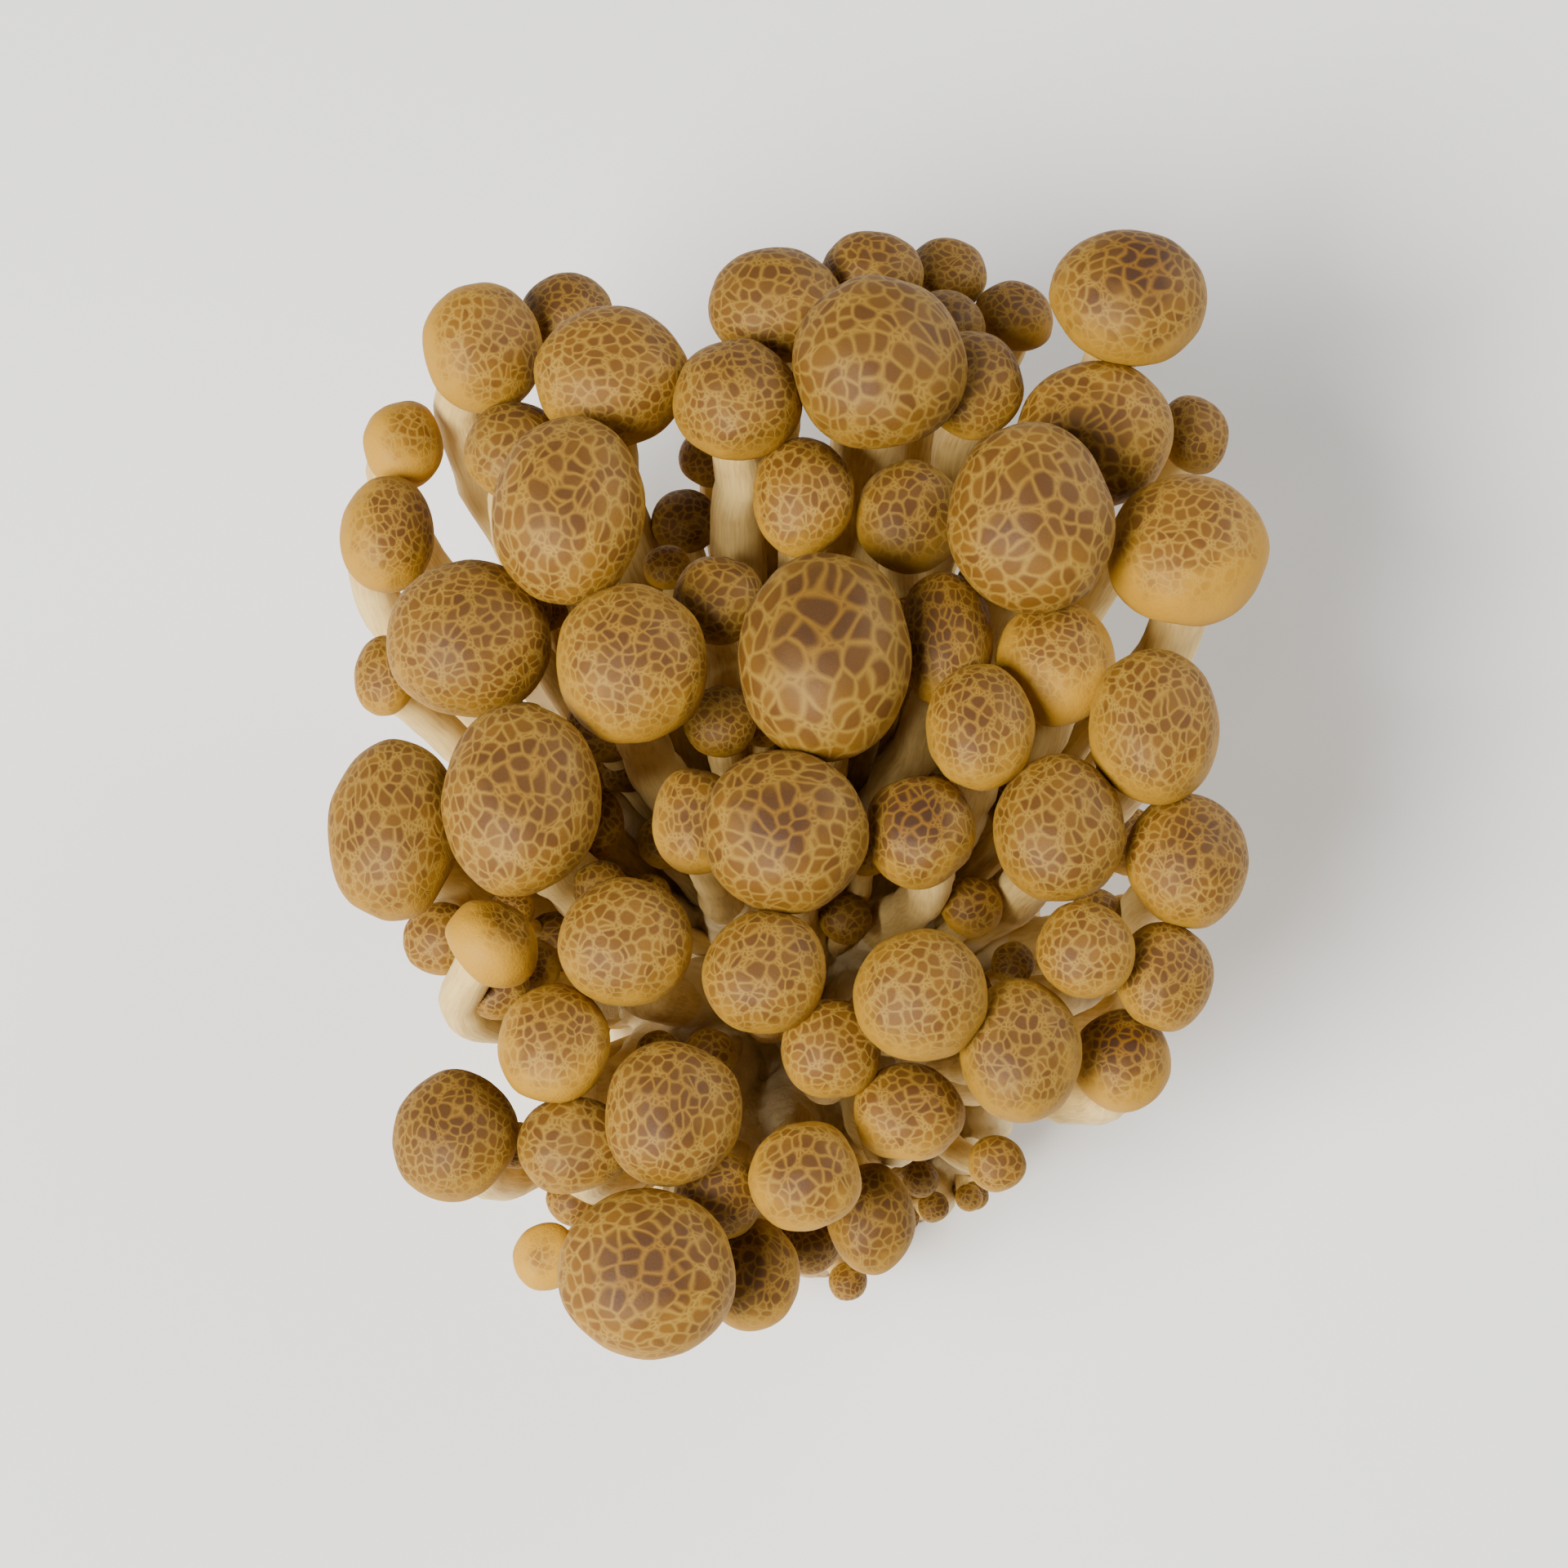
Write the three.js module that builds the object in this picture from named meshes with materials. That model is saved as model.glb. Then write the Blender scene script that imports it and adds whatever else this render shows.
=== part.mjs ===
// A cluster of brown beech mushrooms: many whole mushrooms, each a cap on its own bent stem,
// rising side by side from one lumpy base that was cut flat below.
// Millimetres, +Z up. The cut face of the base lies on z = 0, so the cluster stands on it.
// Every mushroom grew as one piece, so its cap and stem are one closed body.

import * as THREE from "three";

// ---------------------------------------------------------------- driving dimensions

// The base, where all the stems run together.
const BASE_WIDTH = 54; // along X
const BASE_LENGTH = 74; // along Y
const BASE_RIM_HEIGHT = 12;
const BASE_CROWN_HEIGHT = 20;
const BASE_SEGMENTS = 28;

// The stems. Their feet crowd together on the base under the much wider spread of the caps.
const FOOT_SPREAD_X = 0.56;
const FOOT_SPREAD_Y = 0.56;
const FOOT_REACH = 0.87; // how far out on the base a foot may stand, as a share of its half width
const STEM_RADIUS_START = 1.35;
const STEM_RADIUS_PER_CAP_RADIUS = 0.2;
const STEM_SWELL_AT_FOOT = 1.12;
const STEM_THINNING_AT_NECK = 0.92;
const STEM_BOW = 0.45; // the stretch of stem below the cap that follows the cap's own lean

// The caps: heights are shares of the cap's mean radius, measured from its widest ring.
const CAP_DOME = 0.78;
const CAP_NECK = -0.16;
const CAP_OUTLINE = [
  { out: 0.8, up: -0.31 },
  { out: 0.94, up: -0.25 },
  { out: 1.0, up: 0.0 },
  { out: 0.87, up: 0.42 },
  { out: 0.5, up: 0.69 },
];

// How finely the bodies are faceted.
const SIDES = 9;
const STEM_STATIONS = [0, 0.34, 0.68, 1];

// Growing room: neighbours are eased apart until this much air is left between them.
const CLEARANCE = 0.5;
const FOOT_GAP = 0.35; // between a stem's foot and the base it springs from
const SETTLE_ROUNDS = 360;
const HOLD_ROUNDS = 260;
const HOLD_SHARE = 0.04;
const STEM_BEADS = 17;
const CAP_CORE_BEAD = { up: 0.22, size: 0.58 };
const CAP_BEAD_RINGS = [
  { count: 12, inset: 0.44, up: 0.05, size: 0.46 },
  { count: 8, inset: 0.64, up: 0.28, size: 0.44 },
];

// The mushrooms, from the back of the cluster to the front. Each row is hand-set:
// where the cap stands (x, y), its breadth along X and along Y, the height of its top,
// and how many degrees it nods towards +X and towards +Y.
const MUSHROOMS = [
  // back edge
  [-23, 54, 9, 9, 52, -5, 15],
  [15, 52, 8, 8, 54, 5, 15],
  [22, 55, 8, 8, 50, 8, 15],
  [8, 57, 10, 9, 55, 0, 15],
  [16, 60, 8, 8, 49, 5, 20],
  [-2, 51, 13, 12, 59, 0, 8],
  // back shoulder
  [-30, 48, 12, 13, 57, 28, -5],
  [-15, 43, 15, 14, 63, 10, 5],
  [-5, 46, 9, 9, 54, 0, 12],
  [8, 42, 16, 17, 67, 0, 0],
  [18, 43, 10, 11, 59, 5, 5],
  [33, 51, 15, 14, 63, 5, 8],
  [-39, 42, 8, 9, 47, 25, 0],
  [-7, 39, 12, 13, 62, 0, 10],
  [29, 39, 15, 14, 59, -12, -15],
  [40, 42, 7, 8, 49, 15, 5],
  // behind the middle
  [-27, 37, 10, 11, 57, 15, 10],
  [-40, 31, 9, 12, 50, 28, 0],
  [-22, 26, 14, 18, 66, -3, 0],
  [1, 31, 10, 12, 61, 0, 5],
  [11, 29, 10, 11, 59, 0, 0],
  [23, 25, 16, 18, 68, 0, -10],
  [38, 25, 15, 16, 61, -5, 15],
  [-7, 20, 9, 9, 58, 0, 5],
  // middle
  [-30, 16, 15, 15, 63, 5, -3],
  [-40, 17, 6, 8, 46, -15, 0],
  [-15, 11, 14, 15, 66, 3, 0],
  [3, 11, 16, 20, 69, -3, 3],
  [15, 14, 9, 13, 62, -3, 0],
  [26, 13, 11, 13, 62, 0, 15],
  [18, 4, 10, 12, 63, -3, 5],
  [33, 5, 12, 15, 63, 3, 0],
  // before the middle
  [-25, -3, 14, 18, 67, 3, 0],
  [-37, -5, 12, 17, 61, -5, 0],
  [-9, -3, 8, 10, 59, -5, 0],
  [-1, -7, 15, 15, 67, -3, 0],
  [12, -5, 10, 11, 62, -12, 5],
  [24, -5, 12, 14, 64, 0, 0],
  [36, -7, 11, 13, 60, 8, 5],
  [-34, -9, 7, 7, 45, -10, -5],
  [-28, -15, 9, 9, 57, 38, 30],
  [-16, -17, 12, 12, 63, 0, 3],
  [-2, -19, 11, 11, 64, 0, 0],
  [12, -22, 12, 12, 64, 0, -3],
  [26, -16, 9, 9, 61, -10, 0],
  [35, -17, 9, 10, 57, 8, 0],
  // front shoulder
  [21, -25, 11, 13, 61, 0, 0],
  [31, -24, 9, 10, 53, -5, 12],
  [-21, -25, 10, 11, 61, 0, 10],
  [4, -26, 9, 9, 59, 0, 0],
  [-11, -33, 12, 13, 64, 0, -3],
  [-20, -34, 10, 9, 58, -3, 8],
  [-31, -33, 11, 12, 57, -5, 8],
  [10, -30, 10, 9, 57, 5, 10],
  // front edge
  [2, -38, 10, 10, 59, 0, 0],
  [6, -38, 8, 10, 47, 5, -8],
  [-6, -39, 8, 8, 55, 0, -10],
  [-13, -47, 16, 15, 63, 0, -3],
  [-4, -44, 9, 10, 52, 5, -8],
];

// ---------------------------------------------------------------- finishes

const capSkin = new THREE.MeshStandardMaterial({ color: 0xa8702f, roughness: 0.62, metalness: 0 });
const baseFlesh = new THREE.MeshStandardMaterial({ color: 0xd9c8a4, roughness: 0.85, metalness: 0 });

// ---------------------------------------------------------------- the base

const UP = new THREE.Vector3(0, 0, 1);
const baseCentre = new THREE.Vector3(0, 4, 0);

// Share of the way out from the middle of the base to its edge, at a place seen from above.
function baseShare(x, y) {
  return Math.hypot((x - baseCentre.x) / (BASE_WIDTH / 2), (y - baseCentre.y) / (BASE_LENGTH / 2));
}

// The base is a low dome: highest in the middle, falling to its rim.
function domeHeight(share) {
  return BASE_RIM_HEIGHT + (BASE_CROWN_HEIGHT - BASE_RIM_HEIGHT) * (1 - share * share);
}

// Its outline is wavy, because it is many stem feet grown together.
function lobes(angle) {
  const broad = 0.035 * Math.sin(3 * angle + 0.6);
  const middling = 0.025 * Math.sin(8 * angle);
  const fine = 0.02 * Math.sin(13 * angle + 2);
  return 1 + broad + middling + fine;
}

// A lathed block, turned to stand along Z, then stretched to the oval and its lobes.
function baseGeometry() {
  const outline = [
    new THREE.Vector2(0, 0),
    new THREE.Vector2(0.9, 0),
    new THREE.Vector2(0.98, 1.2),
    new THREE.Vector2(1, BASE_RIM_HEIGHT * 0.55),
    new THREE.Vector2(0.94, domeHeight(0.94) - 0.6),
    new THREE.Vector2(0.8, domeHeight(0.8)),
    new THREE.Vector2(0.45, domeHeight(0.45)),
    new THREE.Vector2(0, domeHeight(0)),
  ];
  const geometry = new THREE.LatheGeometry(outline, BASE_SEGMENTS);
  geometry.rotateX(Math.PI / 2);
  const place = geometry.getAttribute("position");
  for (let i = 0; i < place.count; i += 1) {
    const swell = lobes(Math.atan2(place.getY(i), place.getX(i)));
    place.setX(i, baseCentre.x + place.getX(i) * swell * (BASE_WIDTH / 2));
    place.setY(i, baseCentre.y + place.getY(i) * swell * (BASE_LENGTH / 2));
  }
  return geometry;
}

// ---------------------------------------------------------------- one mushroom

// Reads a row of the list and works out the mushroom's own sizes and first place.
function sprout([x, y, breadthX, breadthY, top, nodX, nodY]) {
  const leanX = Math.tan(THREE.MathUtils.degToRad(nodX));
  const leanY = Math.tan(THREE.MathUtils.degToRad(nodY));
  const axis = new THREE.Vector3(leanX, leanY, 1).normalize();
  const radius = (breadthX + breadthY) / 4;
  const centre = new THREE.Vector3(x, y, top - CAP_DOME * radius * axis.z);
  const mushroom = {
    axis,
    radius,
    radiusX: breadthX / 2,
    radiusY: breadthY / 2,
    stemRadius: STEM_RADIUS_START + STEM_RADIUS_PER_CAP_RADIUS * radius,
    wanted: centre,
    cap: centre.clone(),
    foot: new THREE.Vector3(x * FOOT_SPREAD_X, baseCentre.y + (y - baseCentre.y) * FOOT_SPREAD_Y, 0),
  };
  seatFoot(mushroom);
  return mushroom;
}

// Keeps a foot on the base, and its inner edge, where the dome is highest, just clear of the skin.
function seatFoot(mushroom) {
  const { foot } = mushroom;
  const share = baseShare(foot.x, foot.y);
  if (share > FOOT_REACH) {
    foot.x = baseCentre.x + ((foot.x - baseCentre.x) * FOOT_REACH) / share;
    foot.y = baseCentre.y + ((foot.y - baseCentre.y) * FOOT_REACH) / share;
  }
  const footRadius = mushroom.stemRadius * STEM_SWELL_AT_FOOT;
  const innerShare = Math.max(0, baseShare(foot.x, foot.y) - footRadius / (BASE_WIDTH / 2));
  foot.z = domeHeight(innerShare) + FOOT_GAP;
}

// The line that the stem follows: up from the foot, then along the cap's own axis.
function stemLine(mushroom) {
  const neck = mushroom.cap.clone().addScaledVector(mushroom.axis, CAP_NECK * mushroom.radius);
  const bow = neck.clone().addScaledVector(mushroom.axis, -STEM_BOW * neck.distanceTo(mushroom.foot));
  return new THREE.QuadraticBezierCurve3(mushroom.foot.clone(), bow, neck);
}

function stemRadiusAt(mushroom, share) {
  const swell = THREE.MathUtils.lerp(STEM_SWELL_AT_FOOT, STEM_THINNING_AT_NECK, Math.sqrt(share));
  return mushroom.stemRadius * swell;
}

// The rings that the body is lathed through, from the foot to the crown. Each has the place
// and turn of its middle, and how far it reaches out and how high it lifts from there.
// The foot's ring stays level, flat on the base.
function bodyRings(mushroom) {
  const line = stemLine(mushroom);
  const capTurn = new THREE.Quaternion().setFromUnitVectors(UP, mushroom.axis);
  const rings = [];
  rings.push({ middle: mushroom.foot, turn: new THREE.Quaternion(), outX: 0, outY: 0, up: 0 });
  for (const share of STEM_STATIONS) {
    const turn = new THREE.Quaternion();
    if (share > 0) {
      turn.setFromUnitVectors(UP, line.getTangent(share));
    }
    const reach = stemRadiusAt(mushroom, share);
    rings.push({ middle: line.getPoint(share), turn, outX: reach, outY: reach, up: 0 });
  }
  for (const { out, up } of CAP_OUTLINE) {
    const outX = out * mushroom.radiusX;
    const outY = out * mushroom.radiusY;
    rings.push({ middle: mushroom.cap, turn: capTurn, outX, outY, up: up * mushroom.radius });
  }
  rings.push({ middle: mushroom.cap, turn: capTurn, outX: 0, outY: 0, up: CAP_DOME * mushroom.radius });
  return rings;
}

// A lathe of unit radius gives the skin, and each of its rings is carried to its own place.
function mushroomGeometry(mushroom) {
  const rings = bodyRings(mushroom);
  const lastRing = rings.length - 1;
  const outline = rings.map((ring, i) => new THREE.Vector2(i === 0 || i === lastRing ? 0 : 1, i));
  const geometry = new THREE.LatheGeometry(outline, SIDES);
  geometry.rotateX(Math.PI / 2);
  const place = geometry.getAttribute("position");
  const point = new THREE.Vector3();
  for (let i = 0; i < place.count; i += 1) {
    const ring = rings[i % rings.length];
    point.set(place.getX(i) * ring.outX, place.getY(i) * ring.outY, ring.up);
    point.applyQuaternion(ring.turn).add(ring.middle);
    place.setXYZ(i, point.x, point.y, point.z);
  }
  return geometry;
}

// ---------------------------------------------------------------- room to grow

// Stands beads along the stem and inside the cap. A bead's neckShare says how much of a push
// on it moves the cap, the rest of the push moving the foot.
function beadsOf(mushroom) {
  const beads = [];
  const line = stemLine(mushroom);
  for (let i = 0; i < STEM_BEADS; i += 1) {
    const share = i / (STEM_BEADS - 1);
    const spot = line.getPoint(share);
    const radius = stemRadiusAt(mushroom, share);
    beads.push({ x: spot.x, y: spot.y, z: spot.z, radius, neckShare: 1 - (1 - share) ** 2 });
  }
  const capTurn = new THREE.Quaternion().setFromUnitVectors(UP, mushroom.axis);
  const addCapBead = (outX, outY, up, radius) => {
    const spot = new THREE.Vector3(outX, outY, up).applyQuaternion(capTurn).add(mushroom.cap);
    beads.push({ x: spot.x, y: spot.y, z: spot.z, radius, neckShare: 1 });
  };
  const thin = Math.min(mushroom.radiusX, mushroom.radiusY);
  addCapBead(0, 0, CAP_CORE_BEAD.up * mushroom.radius, CAP_CORE_BEAD.size * thin);
  for (const ring of CAP_BEAD_RINGS) {
    for (let i = 0; i < ring.count; i += 1) {
      const angle = (i / ring.count) * 2 * Math.PI;
      const outX = Math.cos(angle) * (mushroom.radiusX - ring.inset * thin);
      const outY = Math.sin(angle) * (mushroom.radiusY - ring.inset * thin);
      addCapBead(outX, outY, ring.up * mushroom.radius, ring.size * thin);
    }
  }
  return beads;
}

function boxOf(beads) {
  const box = new THREE.Box3();
  for (const bead of beads) {
    const reach = bead.radius + CLEARANCE;
    box.expandByPoint(new THREE.Vector3(bead.x - reach, bead.y - reach, bead.z - reach));
    box.expandByPoint(new THREE.Vector3(bead.x + reach, bead.y + reach, bead.z + reach));
  }
  return box;
}

function nudge(mushroom, bead, direction, distance) {
  const footShare = 1 - bead.neckShare;
  const scale = distance / (footShare ** 2 + bead.neckShare ** 2);
  mushroom.cap.addScaledVector(direction, bead.neckShare * scale);
  mushroom.foot.addScaledVector(direction, footShare * scale);
}

// Eases two mushrooms apart where they press on each other the most.
function separate(first, firstBeads, second, secondBeads) {
  let deepest = 0;
  let pair = null;
  for (const a of firstBeads) {
    for (const b of secondBeads) {
      const gap = Math.hypot(a.x - b.x, a.y - b.y, a.z - b.z);
      const depth = a.radius + b.radius + CLEARANCE - gap;
      if (depth > deepest) {
        deepest = depth;
        pair = [a, b];
      }
    }
  }
  if (!pair) {
    return;
  }
  const [a, b] = pair;
  const apart = new THREE.Vector3(b.x - a.x, b.y - a.y, b.z - a.z).normalize();
  nudge(first, a, apart, -deepest / 2);
  nudge(second, b, apart, deepest / 2);
}

// Lets the whole cluster find room, each cap held near its own place until the last rounds.
function settle(mushrooms) {
  for (let round = 0; round < SETTLE_ROUNDS; round += 1) {
    const beads = mushrooms.map(beadsOf);
    const boxes = beads.map(boxOf);
    for (let i = 0; i < mushrooms.length; i += 1) {
      for (let j = i + 1; j < mushrooms.length; j += 1) {
        if (boxes[i].intersectsBox(boxes[j])) {
          separate(mushrooms[i], beads[i], mushrooms[j], beads[j]);
        }
      }
    }
    for (const mushroom of mushrooms) {
      if (round < HOLD_ROUNDS) {
        mushroom.cap.lerp(mushroom.wanted, HOLD_SHARE);
      }
      seatFoot(mushroom);
    }
  }
}

// ---------------------------------------------------------------- the cluster

const cluster = new THREE.Group();

const base = new THREE.Mesh(baseGeometry(), baseFlesh);
base.name = "base";
cluster.add(base);

const mushrooms = MUSHROOMS.map(sprout);
settle(mushrooms);
mushrooms.forEach((mushroom, i) => {
  const mesh = new THREE.Mesh(mushroomGeometry(mushroom), capSkin);
  mesh.name = `mushroom_${String(i + 1).padStart(2, "0")}`;
  cluster.add(mesh);
});

// The origin is the middle of the cluster's box, on the surface it stands on.
const extent = new THREE.Box3().setFromObject(cluster);
const middle = extent.getCenter(new THREE.Vector3());
cluster.position.set(-middle.x, -middle.y, 0);

export default cluster;
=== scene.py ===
import math
import random

import bmesh
import bpy
from mathutils import Matrix, Vector, geometry, noise


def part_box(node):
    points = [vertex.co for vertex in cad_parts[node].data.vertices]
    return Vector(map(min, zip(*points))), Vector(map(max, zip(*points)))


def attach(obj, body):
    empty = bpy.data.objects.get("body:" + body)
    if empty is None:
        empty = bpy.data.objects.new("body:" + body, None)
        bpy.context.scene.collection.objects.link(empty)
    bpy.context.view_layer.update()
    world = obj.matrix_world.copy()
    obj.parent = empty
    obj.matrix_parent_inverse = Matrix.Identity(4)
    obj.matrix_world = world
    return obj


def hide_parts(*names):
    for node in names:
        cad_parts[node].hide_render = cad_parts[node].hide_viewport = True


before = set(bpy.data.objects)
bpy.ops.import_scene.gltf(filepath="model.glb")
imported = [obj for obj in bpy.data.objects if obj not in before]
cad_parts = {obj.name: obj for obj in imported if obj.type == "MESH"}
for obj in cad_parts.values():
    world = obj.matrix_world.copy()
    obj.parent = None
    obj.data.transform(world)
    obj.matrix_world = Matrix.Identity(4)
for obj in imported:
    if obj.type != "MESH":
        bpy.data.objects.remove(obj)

bl_info = {
    "name": "Beech mushroom cluster",
    "version": (1, 0, 0),
    "blender": (4, 5, 0),
    "location": "View3D > Sidebar > Mushrooms",
    "description": "Grows caps, gills, stems and base over the solids of a mushroom cluster",
    "category": "Add Mesh",
}

MM = 0.001
UP = Vector((0, 0, 1))
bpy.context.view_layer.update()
MUSHROOM_NODES = sorted(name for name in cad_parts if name.startswith("mushroom_"))
MERGE_DISTANCE = 0.01 * MM

# The rings of corners that a mushroom's solid has, counted from the middle of its foot.
STEM_RINGS = slice(1, 5)
LOW_SHARE, HIGH_SHARE = 0.34, 0.68  # how far up the stem its two middle rings are
WIDEST_RING = 7

# A cap of unit radius, whose widest ring is at height 0.
DOME = 0.78  # height of the dome
LIP = 0.31  # how far the margin rolls down below the widest ring
CURL = 0.07  # radius of the rolled margin
SKIN_CENTRE = -0.35  # height from which the skin is measured, as a fall from the crown
CAP_STEPS = 72
DOME_RINGS = 16
LIP_RINGS = 5
SIDE_RINGS = 4
USUAL_RADIUS = 6.3 * MM  # of the caps in the cluster

STEM_SIDES = 22
STEM_STATIONS = 20
FLUTE, DENT, WANDER = 0.06, 0.05, 0.22  # how uneven a stem is, as shares of its foot's radius
ROOTED = 4 * MM  # how deep a stem runs into the base
BLADE_DEPTH = 0.08  # of the gills, as a share of the cap's radius

# Stunted mushrooms: how far from the middle they reach across and along, how far their
# middle lies to the front, how high their tops are and how broad, in millimetres.
CROWD_REACH, CROWD_SHIFT = (34, 48), 2
STUNTED_TOPS, STUNTED_BREADTHS = (31, 50), (4, 8)
CLOSE = 0.9  # share of its radius that a stunted cap keeps from everything else

FOOT_SIDES = 14
FOOT_FLARE = (1.6, 1.45, 1.3, 1.12, 0.98, 0.86)  # how much wider a stem is, going up
SKIRT_LUMPS = 30
SLIMMER = (0.84, 0.86, 0.93)  # leaves room inside the solid base for the skirt and the lumps
SMOOTHINGS = 4
LUMP, LUMP_DEPTH = 3.4 * MM, 0.3 * MM
STREAK, STREAK_DEPTH = 1.3 * MM, 0.12 * MM

# Where the draws of each kind of thing begin, so that no two things are drawn alike.
FIRST_SMALL, FIRST_PIN, STEM_DRAWS, FOOT_DRAWS = 101, 500, 1000, 2000
SKIRT_DRAWS, PIN_DRAWS, CROWD_DRAWS = 7, 11, 29

LOOK_AT = Vector((-1.3, -4.5, 57)) * MM
CAMERA_ELEVATION = math.radians(68)
CAMERA_DISTANCE = 400 * MM
FIELD_WIDTH = 147 * MM
SENSOR_WIDTH = 36
FLOOR_REACH = 3
LIT_POINT = Vector((0, 0, 40)) * MM
# Name, place and breadth in metres, and power in watts.
LAMPS = (
    ("key", Vector((-0.38, -0.4, 0.66)), 0.42, 20),
    ("fill", Vector((0.6, 0.4, 0.5)), 0.6, 7),
)


def linear(hex_colour):
    """An sRGB hex colour as the linear red, green and blue that shaders take."""
    channels = [int(hex_colour[i : i + 2], 16) / 255 for i in (0, 2, 4)]
    return tuple(c / 12.92 if c <= 0.04045 else ((c + 0.055) / 1.055) ** 2.4 for c in channels)


# ------------------------------------------------------------------ settings


def colour_setting(name, description, hex_colour):
    """A colour that a user can change, given by its sRGB hex value."""
    return bpy.props.FloatVectorProperty(
        name=name,
        description=description,
        subtype="COLOR",
        size=3,
        min=0,
        max=1,
        default=linear(hex_colour),
    )


class MUSHROOM_PG_settings(bpy.types.PropertyGroup):
    """Sizes and colours of the cluster."""

    cap_growth: bpy.props.FloatProperty(
        name="Cap growth",
        description="How much rounder a cap is drawn than the flat-sided solid it covers",
        subtype="FACTOR",
        min=0.9,
        max=1.1,
        default=1.03,
    )
    cell_size: bpy.props.FloatProperty(
        name="Cell size",
        description="Width of a dark cell in the net on a cap of middling size",
        subtype="DISTANCE",
        unit="LENGTH",
        min=0.0005,
        max=0.004,
        default=1.25 * MM,
    )
    gill_count: bpy.props.IntProperty(
        name="Gills",
        description="Blades under one cap",
        min=20,
        max=90,
        default=48,
    )
    felt_voxel: bpy.props.FloatProperty(
        name="Base detail",
        description="Size of the smallest lump where the stem feet grow together",
        subtype="DISTANCE",
        unit="LENGTH",
        min=0.0003,
        max=0.003,
        default=0.55 * MM,
    )
    pin_count: bpy.props.IntProperty(
        name="Pins",
        description="Baby mushrooms on the base that stopped growing",
        min=0,
        max=120,
        default=64,
    )
    stunted_count: bpy.props.IntProperty(
        name="Stunted mushrooms",
        description="Small mushrooms that fill the room under the big caps",
        min=0,
        max=60,
        default=54,
    )
    crown_colour: colour_setting("Crown", "Dark brown of the middle of a cap", "3c220c")
    cell_colour: colour_setting("Cells", "Brown of most cells", "5a3709")
    warm_cell_colour: colour_setting("Warm cells", "Ochre brown of the palest cells", "704b0d")
    net_colour: colour_setting("Net", "Pale tan of the fine net between cells", "8c6b26")
    margin_colour: colour_setting("Margin", "Plain ochre of the cap's margin", "99701a")
    stem_colour: colour_setting("Stem", "Ivory of the stems", "d6b66e")
    stem_stain_colour: colour_setting("Stem shade", "Tan that old fibres take on", "a98445")
    gill_colour: colour_setting("Gills", "Cream of the gills", "cdab66")
    felt_colour: colour_setting("Felt", "Cream of the felted base", "d6bd88")
    crust_colour: colour_setting("Crust", "Straw brown where the base has dried", "a07c4c")
    crumb_colour: colour_setting("Crumbs", "Dark brown of the sawdust left by the cut", "5a3c20")


# ------------------------------------------------------------------ reading the solids


class Mushroom:
    """One mushroom: its stem's line and thickness, and its cap's place, slant and size."""

    def __init__(self, number, foot, neck, handles, thickness, centre, axis, reach):
        self.number = number
        self.foot = foot
        self.neck = neck
        self.handles = handles
        self.foot_radius, self.neck_radius = thickness
        self.centre = centre
        self.axis = axis
        self.turn = UP.rotation_difference(axis).to_matrix().to_4x4()
        self.radius_x, self.radius_y = reach
        self.radius = sum(reach) / 2

    def line(self, count):
        """Points along the middle of the stem, from the foot to the neck."""
        return geometry.interpolate_bezier(self.foot, *self.handles, self.neck, count)

    def cap_place(self):
        """Carries a cap of unit radius, standing at the origin, to where this one grows."""
        grow = bpy.context.scene.mushroom_cluster.cap_growth
        size = Matrix.Diagonal((self.radius_x * grow, self.radius_y * grow, self.radius * grow, 1))
        return Matrix.Translation(self.centre) @ self.turn @ size


def bend_point(start, on_line, end, share):
    """The middle handle of a line of one bend that passes a known point at that share."""
    return (on_line - start * (1 - share) ** 2 - end * share**2) / (2 * share * (1 - share))


def read_rings(name):
    """Walks a solid from the middle of its foot to its crown, one ring of corners at a time."""
    bm = bmesh.new()
    bm.from_mesh(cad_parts[name].data)
    bmesh.ops.remove_doubles(bm, verts=bm.verts, dist=MERGE_DISTANCE)
    poles = sorted(bm.verts, key=lambda v: len(v.link_edges))[-2:]
    ring = [min(poles, key=lambda v: v.co.z)]
    seen = set(ring)
    rings = []
    while ring:
        rings.append([v.co.copy() for v in ring])
        reached = dict.fromkeys(e.other_vert(v) for v in ring for e in v.link_edges)
        ring = [v for v in reached if v not in seen]
        seen.update(ring)
    bm.free()
    return rings


def read_mushroom(name):
    """Measures a mushroom from its solid."""
    rings = read_rings(name)
    middles = [sum(ring, Vector()) / len(ring) for ring in rings]
    reaches = [sum((p - m).length for p in ring) / len(ring) for ring, m in zip(rings, middles)]
    foot, low, high, neck = middles[STEM_RINGS]
    bow = bend_point(foot, low, neck, LOW_SHARE) + bend_point(foot, high, neck, HIGH_SHARE)
    bow /= 2
    centre = middles[WIDEST_RING]
    axis = (middles[-1] - centre).normalized()
    level = UP.rotation_difference(axis).to_matrix().inverted()
    spread = [level @ (p - centre) for p in rings[WIDEST_RING]]
    return Mushroom(
        number=int(name.split("_")[1]),
        foot=foot,
        neck=neck,
        handles=(foot + (bow - foot) * 2 / 3, neck + (bow - neck) * 2 / 3),
        thickness=(reaches[STEM_RINGS][0], reaches[STEM_RINGS][-1]),
        centre=centre,
        axis=axis,
        reach=[math.sqrt(2 * sum(p[i] ** 2 for p in spread) / len(spread)) for i in (0, 1)],
    )


# Mushrooms too small for a solid of their own, in millimetres:
# where the cap stands across and along the cluster, its top, and its breadth.
SMALL_MUSHROOMS = (
    (17.9, -29.2, 51.0, 5.3),
    (-26.3, -37.1, 49.0, 4.2),
    (-28.8, -21.3, 49.0, 6.1),
    (-7.6, 5.9, 50.0, 7.0),
    (-23.6, -47.2, 47.0, 6.0),
)


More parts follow.
